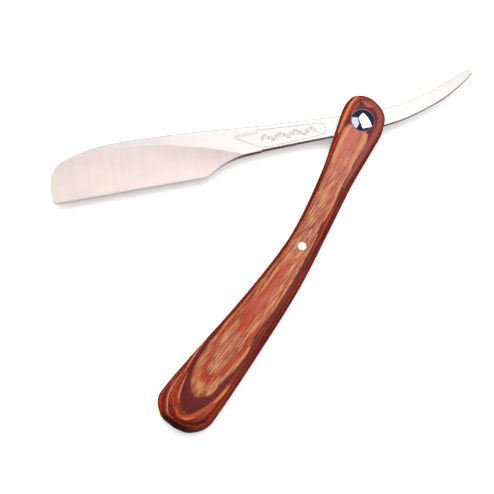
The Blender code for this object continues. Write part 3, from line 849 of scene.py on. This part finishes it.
def blade_stations():
    """Pairs of x positions, on the spine and on the underside, for the blade's sections."""
    toe = end_stations(TOE_X, TOE_ROUND_X, TOE_STATIONS)
    under_toe = list(toe)
    corner = min(range(len(toe)), key=lambda i: abs(toe[i] - EDGE_START))
    under_toe[corner] = EDGE_START
    first, last = ENGRAVED
    body = (spread(TOE_ROUND_X, EDGE_END, BODY_STATIONS)
            + spread(EDGE_END, first, HEEL_STATIONS))
    fine = NOTCH_PITCH / NOTCH_STEPS
    before = spread(first, NOTCH_START, round((NOTCH_START - first) / fine))
    notched = spread(NOTCH_START, last, round((last - NOTCH_START) / fine))
    tail = (spread(last, TAIL_ROUND_X, TAIL_STATIONS)[:-1]
            + end_stations(TAIL_END, TAIL_ROUND_X, TIP_STATIONS)[::-1])
    rest = body + before + notched + tail
    return list(zip(toe + rest, under_toe + rest))


def leaf_lines(x, side, lean):
    """Both outlines of one leaf, from its foot near a bend's crest at x to its tip."""
    lines = []
    for bulge in (LEAF_BULGE, -LEAF_BULGE):
        line = []
        for i in range(LEAF_STEPS + 1):
            t = i / LEAF_STEPS
            wide = bulge * math.sin(math.pi * t)
            along = LEAF_FOOT[0] + LEAF_RUN[0] * t + wide
            across = VINE_HEIGHT - LEAF_FOOT[1] - LEAF_RUN[1] * t + wide
            line.append((x + lean * along, VINE_MIDDLE + side * across))
        lines.append(np.array(line))
    return lines


def vine():
    """Lines of a plain scroll ornament: a waving stem with a pair of leaves in each bend."""
    stem = []
    for i in range(VINE_STEPS + 1):
        x = VINE_START + (VINE_END - VINE_START) * i / VINE_STEPS
        phase = 2 * math.pi * (x - VINE_START) / VINE_WAVE
        stem.append((x, VINE_MIDDLE + VINE_HEIGHT * math.sin(phase)))
    lines = [np.array(stem)]
    for bend in range(int((VINE_END - VINE_START) / (VINE_WAVE / 2))):
        x = VINE_START + VINE_WAVE * (bend + 0.5) / 2
        side = -1 if bend % 2 else 1
        for lean in (-1, 1):
            lines += leaf_lines(x, side, lean)
    return lines


def tag_bars():
    """A row of short upright bars beside the panel."""
    return [np.array([(x, TAG_LOW), (x + TAG_LEAN, TAG_HIGH)])
            for x in np.arange(TAG_START, TAG_END, TAG_PITCH)]


def engrave(made):
    """Cut the panel, the scroll and the tag into the tang's front, and note where they are."""
    places = places_in(made, BLADE_FRAME)
    first, last = ENGRAVED
    front = (places[:, 2] > FRONT_Z) & (places[:, 0] > first) & (places[:, 0] < last)
    spots = places[front, :2]
    lines = [smooth(PANEL, PANEL_STEPS), *vine(), *tag_bars()]
    nearest = np.min([distance(spots, line) for line in lines], axis=0)
    depth = np.zeros(len(places))
    depth[front] = np.exp(-(nearest / ETCH_WIDTH) ** 2)
    for vert, share in zip(made.data.vertices, depth):
        if share > ETCH_LEAST:
            vert.co.z -= ETCH_DEPTH * MM * share
    note(made, "etched", depth)


def make_blade():
    spine = smooth(SPINE)
    underside = np.vstack([smooth(TOE_UNDERSIDE), smooth(UNDERSIDE)])
    grind_line = smooth(GRIND_LINE)
    rings = [blade_ring(top_x, low_x, spine, underside, grind_line)
             for top_x, low_x in blade_stations()]
    made = place("ground_blade", loft(rings), BLADE_FRAME, BLADE_SHARP)
    hole = BARREL_RADIUS + BORE_GAP
    bore = [(0, -CUTTER), (hole, -CUTTER), (hole, CUTTER), (0, CUTTER)]
    carve(made, [place("blade_bore", turned(bore), BLADE_FRAME)])
    engrave(made)
    places = places_in(made, BLADE_FRAME)
    line = np.interp(places[:, 0], grind_line[:, 0], grind_line[:, 1])
    ground = ease((line - places[:, 1]) / GRIND_BLUR + 0.5) * (places[:, 0] < TANG_START)
    note(made, "ground", ground)
    made.data.materials.append(steel_look())
    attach(made, "blade")
    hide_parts("blade")


# ---- scales and wedge

def wall_at(x):
    """Height of the side walls' top above the middle plane, for one x or an array."""
    return WALL_PIVOT + (WALL_BROAD - WALL_PIVOT) * ease(x / BROAD_X)


def crown_at(x):
    """Height of a scale's crown above the middle plane, before the land is taken off."""
    crown = CROWN_PIVOT + (CROWN_BROAD - CROWN_PIVOT) * float(ease(x / BROAD_X))
    wall = wall_at(x)
    left = min(max((HANDLE_END_X - x) / END_ROUND, 0.0), 1.0)
    from_head = min(max((x - HANDLE_HEAD_X) / END_ROUND, 0.0), 1.0)
    fall = math.sqrt(1 - (1 - left) ** DOME_POWER) * math.sqrt(1 - (1 - from_head) ** DOME_POWER)
    return wall + (crown - wall) * fall


def scale_ring(x, concave, back, side):
    """Section of a scale: flat inner face, short side walls and a domed outer face."""
    low = height(concave, x)
    high = height(back, x)
    wall = wall_at(x)
    crown = crown_at(x)
    middle = (low + high) / 2
    half = (high - low) / 2
    edge = min(INNER_CHAMFER, INNER_SHARE * half)
    ring = [(low + edge, HALF_GAP), (low, HALF_GAP + INNER_CHAMFER)]
    for i in range(SECTION_ROWS + 1):
        crowded = -math.cos(math.pi * i / SECTION_ROWS)
        even = 2 * i / SECTION_ROWS - 1
        turn = 0.5 * crowded + 0.5 * even
        rise = max(1 - abs(turn) ** DOME_POWER, 0.0) ** 0.5
        ring.append((middle + half * turn, min(wall + (crown - wall) * rise, LAND)))
    ring += [(high, HALF_GAP + INNER_CHAMFER), (high - edge, HALF_GAP)]
    return [(x, y, side * z) for y, z in ring]


def layer_numbers(spots):
    """How many glue lines are outside each point, with the share of the way to the next one."""
    lines = [smooth(points, LINE_STEPS, closed=True) for points in GLUE_LINES]
    outline = np.vstack([smooth(CONCAVE_SIDE), smooth(BACK_SIDE)[::-1]])
    loops = [outline, *lines]
    far = [ring_distance(spots, loop) for loop in loops]
    levels = far[0] / (far[0] + far[1] + TINY)
    for depth, loop in enumerate(lines, start=1):
        within = inside(spots, loop)
        if depth < len(lines):
            share = far[depth] / (far[depth] + far[depth + 1] + TINY)
        else:
            share = np.clip(far[depth] / CORE_DEPTH, 0, 1)
        levels[within] = depth + share[within]
    core = smooth(HEAD_CORE, LINE_STEPS, closed=True)
    within = inside(spots, core)
    share = np.clip(ring_distance(spots, core) / CORE_DEPTH, 0, 1)
    levels[within] = len(lines) + share[within]
    return levels


def streak_share(spots, line, half_width):
    """1 along a streak's middle line, falling to 0 at its sides; it narrows towards both ends."""
    line = smooth(line, STREAK_STEPS)
    along = np.linspace(0.0, 1.0, len(line))
    swell = np.sin(np.pi * along) ** STREAK_TAPER
    widths = half_width * (STREAK_END + (1 - STREAK_END) * swell)
    share = np.zeros(len(spots))
    for centre, width in zip(line, widths):
        share = np.maximum(share, np.exp(-np.sum((spots - centre) ** 2, axis=1) / width ** 2))
    return share


def note_layers(made, side):
    """Note each vertex's layer of wood, its share of end grain with painted shade, and of each streak
    dye.
    """
    places = places_in(made, HANDLE_FRAME)
    x, y, z = places.T
    z = z * side
    levels = layer_numbers(places[:, :2])
    wall = wall_at(x)
    below = np.clip(wall + WALL_EDGE - z, 0, WALL_DEEPEST)
    note(made, "layer", levels - below * WALL_LAYERS)
    # dark end grain with painted shade: it reaches up over the rounding top of the broad end
    outwards = ease((x - HANDLE_END_X + END_GRAIN_AND_SHADE_LENGTH) / END_GRAIN_AND_SHADE_BLUR)
    downwards = ease(1 - (z - wall - END_GRAIN_AND_SHADE_RISE) / END_GRAIN_AND_SHADE_FADE)
    note(made, "end_grain_and_shade", outwards * downwards)
    for dye, streaks in STREAKS.items():
        share = np.max([streak_share(places[:, :2], *streak) for streak in streaks], axis=0)
        note(made, dye, share * (z > wall))


def make_scale(name, node, side, shift):
    """One scale; side is +1 in front and -1 behind, and shift moves the wood's pattern."""
    concave = smooth(CONCAVE_SIDE)
    back = smooth(BACK_SIDE)
    count = round((BROAD_ROUND_X - HEAD_ROUND_X) / SECTION_STEP)
    stations = (end_stations(HANDLE_HEAD_X, HEAD_ROUND_X, HEAD_STATIONS)
                + spread(HEAD_ROUND_X, BROAD_ROUND_X, count)[:-1]
                + end_stations(HANDLE_END_X, BROAD_ROUND_X, BROAD_STATIONS)[::-1])
    rings = [scale_ring(x, concave, back, side) for x in stations]
    made = place(name, loft(rings), HANDLE_FRAME, SCALE_SHARP)
    seats = (seat(BARREL_RADIUS + RIM_GAP, HEAD_RADIUS + RIM_GAP, SEAT_Z, side),
             seat(RIVET_TUBE_RADIUS + RIM_GAP, RIVET_HEAD_RADIUS + RIM_GAP, RIVET_SEAT_Z, side,
                  RIVET_X, RIVET_Y))
    cutters = [place(f"{name}_cutter_{i}", bm, HANDLE_FRAME) for i, bm in enumerate(seats)]
    carve(made, cutters)
    note_layers(made, side)
    made.data.materials.append(wood_look(node + "_wood", shift))
    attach(made, "handle")
    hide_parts(node)


def make_wedge():
    concave = smooth(CONCAVE_SIDE)
    back = smooth(BACK_SIDE)
    rings = []
    half = HALF_GAP - WEDGE_GAP
    stations = (spread(WEDGE_START, WEDGE_ROUND_X, WEDGE_STATIONS)
                + end_stations(WEDGE_END, WEDGE_ROUND_X, WEDGE_END_STATIONS)[::-1][1:])
    for x in stations:
        low = height(concave, x) + WEDGE_INSET
        high = height(back, x) - WEDGE_INSET
        rings.append([(x, low, -half), (x, low, half), (x, high, half), (x, high, -half)])
    made = place("dark_wedge", loft(rings), HANDLE_FRAME)
    made.data.materials.append(dark_wood_look())
    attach(made, "handle")
    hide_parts("end_wedge")


# ---- pivot and rivet

def dome(radius, base, rim, top, steps):
    """Profile of a domed head from its base to the axis, with a small rolled rim."""
    rise = top - rim
    sphere = (radius ** 2 + rise ** 2) / (2 * rise)
    widest = math.asin(radius / sphere)
    corner = ROLL_CORNER * RIM_ROLL
    arc = [(radius, base), (radius, rim - RIM_ROLL), (radius - corner, rim - corner)]
    for i in range(1, steps):
        angle = widest * (1 - i / steps)
        arc.append((sphere * math.sin(angle), top - sphere * (1 - math.cos(angle))))
    return [*arc, (0, top)]


def shank(radius, end, base):
    """Profile of a round shank, from the axis at its free end to the head's base."""
    return [(0, end), (radius, end), (radius, base)]


def head(name, node, profile, side, x, y, look):
    """One domed head with its shank; side is +1 in front and -1 behind."""
    flipped = [(radius, side * z) for radius, z in profile]
    made = place(name, turned(flipped, x, y), HANDLE_FRAME, HEAD_SHARP)
    made.data.materials.append(look)
    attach(made, "handle")
    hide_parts(node)
    return made


def make_pivot(chrome):
    cap = dome(HEAD_RADIUS, HEAD_BASE, HEAD_RIM, HEAD_TOP, DOME_STEPS)
    barrel = shank(BARREL_RADIUS, -BARREL_END, HEAD_BASE)
    head("pivot_cap", "pivot_barrel", barrel + cap, 1, 0.0, 0.0, chrome)
    stub = shank(BARREL_RADIUS, BARREL_END + RIM_GAP, HEAD_BASE)
    rear = head("slotted_cap", "pivot_screw", stub + cap, -1, 0.0, 0.0, chrome)
    slot_low = (-CUTTER, -SLOT_WIDTH / 2, -CUTTER)
    slot_high = (CUTTER, SLOT_WIDTH / 2, -HEAD_TOP + SLOT_DEPTH)
    carve(rear, [place("slot_cutter", slab(slot_low, slot_high), HANDLE_FRAME)])


def make_rivet(nickel):
    cap = dome(RIVET_HEAD_RADIUS, RIVET_HEAD_BASE, RIVET_HEAD_RIM, RIVET_HEAD_TOP,
               RIVET_DOME_STEPS)
    post = shank(RIVET_TUBE_RADIUS, -RIVET_POST_END, RIVET_HEAD_BASE)
    stub = shank(RIVET_TUBE_RADIUS, RIVET_TUBE_END, RIVET_HEAD_BASE)
    head("rivet_cap", "rivet_post", post + cap, 1, RIVET_X, RIVET_Y, nickel)
    head("rear_rivet_cap", "rivet_tube", stub + cap, -1, RIVET_X, RIVET_Y, nickel)


def dress_brass():
    """The washers and the spacer keep their CAD meshes."""
    spots = {"front_pivot_washer": (0.0, 0.0, 0.0), "rear_pivot_washer": (0.0, 0.0, 0.0),
             "rivet_spacer": (RIVET_X, RIVET_Y, 0.0)}
    for node, centre in spots.items():
        made = frame["nodes"][node]
        made.data.materials.clear()
        made.data.materials.append(brass_look(centre))


# ---- studio

FLOOR_TONE = (0.10, 0.06, 0.06)
WALL_TONE = (0.80, 0.80, 0.82)
CEILING_TONE = (0.035, 0.04, 0.07)
# What metal mirrors, by elevation in degrees
WALLS = ((-2.0, FLOOR_TONE), (1.0, WALL_TONE), (12.0, WALL_TONE), (20.0, CEILING_TONE))
FILL_STRENGTH = 0.62
PAPER = (0.90, 0.90, 0.90)
PAPER_SHADE = (0.94, 0.935, 0.93)
PAPER_GLOW = (1.0, 0.985, 0.98, 1.0)
PAPER_GLOW_STRENGTH = 0.30
FLOOR_SIZE = 6000.0  # half its side, in millimetres

# Camera: lengths in metres, angles in degrees, lens in millimetres
CAMERA_TARGET = (-0.04538, -0.04893)  # from the pivot to what is in the middle of the picture
CAMERA_ELEVATION = 74.0
CAMERA_DISTANCE = 0.6
SENSOR_WIDTH = 36.0
LENS = 112.11

# Area lights: name, centre from the floor under the pivot in metres, the way it faces, the way its
# width runs, width and height, radiance and colour
SOFT_BOXES = (
    ("key_box", (0.094, 0.260, 0.856), (-0.726, -0.141, -0.674), (0.358, -0.913, -0.195),
     (1.08, 0.702), 2.35, (1.0, 0.985, 0.975)),
    ("side_box", (-0.349, 0.155, 0.856), (0.995, 0.044, -0.089), (0.073, -0.931, 0.358),
     (0.694, 0.896), 1.2, (0.97, 0.95, 1.0)),
)
SUN_STRENGTH = 1.2
SUN_WIDTH = 50.0
SUN_WAY = (0.10, -0.45, -1.0)


def soft_box(name, centre, facing, across, size, radiance, colour):
    """Area light of a given brightness: power is radiance times area times pi."""
    data = bpy.data.lights.new(name, "AREA")
    data.shape = "RECTANGLE"
    data.size, data.size_y = size
    data.energy = radiance * size[0] * size[1] * math.pi
    data.color = colour
    made = add_object(name, data)
    behind = -Vector(facing).normalized()
    side = (Vector(across) - behind * behind.dot(Vector(across))).normalized()
    made.matrix_world = Matrix.Translation(centre) @ Matrix(
        (side, behind.cross(side), behind)).transposed().to_4x4()
    made.visible_camera = False


def make_world():
    """White to the eye and as fill light. Metal mirrors pale walls with a dark ceiling above."""
    world = bpy.data.worlds.new("studio")
    world.use_nodes = True
    bpy.context.scene.world = world
    tree = Tree(world.node_tree)
    white = tree.nodes["Background"]
    white.inputs["Color"].default_value = (1.0, 1.0, 1.0, 1.0)
    white.inputs["Strength"].default_value = FILL_STRENGTH
    direction = tree.add("ShaderNodeTexCoord", {}).outputs["Generated"]
    up = tree.add("ShaderNodeSeparateXYZ", {0: direction}).outputs["Z"]
    stops = [(0.5 + 0.5 * math.sin(math.radians(elevation)), tone) for elevation, tone in WALLS]
    walls = tree.ramp(tree.span(up, -1.0, 1.0), stops)
    room = tree.add("ShaderNodeBackground", {"Color": walls})
    glossy = tree.add("ShaderNodeLightPath", {}).outputs["Is Glossy Ray"]
    mixed = tree.add("ShaderNodeMixShader", {0: glossy, 1: white.outputs[0], 2: room.outputs[0]})
    tree.links.new(mixed.outputs[0], tree.nodes["World Output"].inputs["Surface"])


def make_floor():
    bm = bmesh.new()
    bmesh.ops.create_grid(bm, x_segments=8, y_segments=8, size=FLOOR_SIZE)
    floor = place("floor", bm, Matrix.Identity(4))
    look = Look("floor_paper", 0.9, Specular_IOR_Level=0.05)
    here = look.coordinates(Matrix.Identity(4))
    look.drive("Base Color", look.mix(look.noise(here, 2.0, 0.5, 0.02), PAPER, PAPER_SHADE))
    look.shader.inputs["Emission Color"].default_value = PAPER_GLOW
    look.shader.inputs["Emission Strength"].default_value = PAPER_GLOW_STRENGTH
    floor.data.materials.append(look.material)
    floor.visible_glossy = False


def make_camera():
    target = Vector((PIVOT.x + CAMERA_TARGET[0], PIVOT.y + CAMERA_TARGET[1], 0.0))
    elevation = math.radians(CAMERA_ELEVATION)
    back = Vector((0.0, -math.cos(elevation), math.sin(elevation)))
    data = bpy.data.cameras.new("camera")
    data.sensor_width = SENSOR_WIDTH
    data.lens = LENS
    camera = add_object("camera", data)
    camera.location = target + CAMERA_DISTANCE * back
    camera.rotation_euler = (-back).to_track_quat("-Z", "Y").to_euler()
    bpy.context.scene.camera = camera


def make_sun():
    """A wide sun, which throws the soft shadows and isn't seen in the metal."""
    data = bpy.data.lights.new("sun", "SUN")
    data.energy = SUN_STRENGTH
    data.angle = math.radians(SUN_WIDTH)
    sun = add_object("sun", data)
    sun.rotation_euler = Vector(SUN_WAY).to_track_quat("-Z", "Y").to_euler()
    sun.visible_glossy = False


def make_studio():
    bpy.context.scene.view_settings.view_transform = "Standard"
    make_camera()
    make_world()
    make_floor()
    under_pivot = Vector((PIVOT.x, PIVOT.y, 0.0))
    for name, centre, *rest in SOFT_BOXES:
        soft_box(name, under_pivot + Vector(centre), *rest)
    make_sun()


def main():
    make_blade()
    make_scale("front_laminate", "front_scale", 1, 0.0)
    make_scale("rear_laminate", "rear_scale", -1, 31.0)
    make_wedge()
    make_pivot(mirror_look("polished_chrome", tint(214, 214, 226), tint(196, 198, 214), 0.03))
    make_rivet(mirror_look("nickel_silver", tint(250, 244, 232), tint(236, 228, 212), 0.42))
    dress_brass()
    make_studio()


main()
